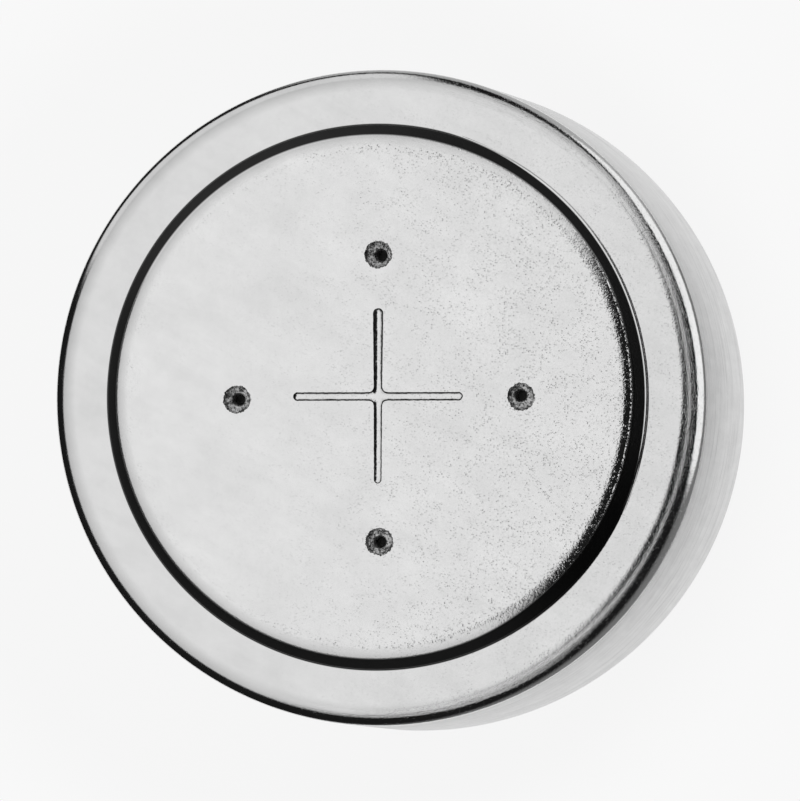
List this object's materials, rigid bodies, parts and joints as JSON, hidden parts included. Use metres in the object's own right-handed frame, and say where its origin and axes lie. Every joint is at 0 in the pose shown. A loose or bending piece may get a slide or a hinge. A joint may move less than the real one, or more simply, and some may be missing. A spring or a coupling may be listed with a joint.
{
  "type": "zinc-air button cell",
  "caption": "Round zinc-air button cell with a stepped steel can pierced by air holes, a stamped plus mark and a crimped negative cap.",
  "frame": {"origin": "centre of the negative cap's flat face, which the cell stands on", "axes": "+Z along the cell's axis towards the positive face; +X and +Y along the arms of the plus mark"},
  "size_m": [0.0078, 0.0078, 0.0054],
  "materials": {
    "nickel_plated_can": "satin nickel plate",
    "diffuser_paper": "matt",
    "porous_film": "matt",
    "carbon": "matt pressed carbon",
    "nickel_screen": "bare nickel",
    "separator_sheet": "non-woven sheet",
    "zinc_gel": "grey metal powder in gel",
    "nylon": "natural moulded nylon",
    "nickel_clad_cap": "drawn nickel-clad steel"
  },
  "bodies": {
    "root": {"cathode_can": "nickel_plated_can", "air_diffuser": "diffuser_paper", "barrier_film": "porous_film", "catalyst_layer": "carbon", "current_collector": "nickel_screen", "separator": "separator_sheet", "zinc_anode": "zinc_gel", "insulator_gasket": "nylon", "anode_cap": "nickel_clad_cap"}
  },
  "joints": []
}
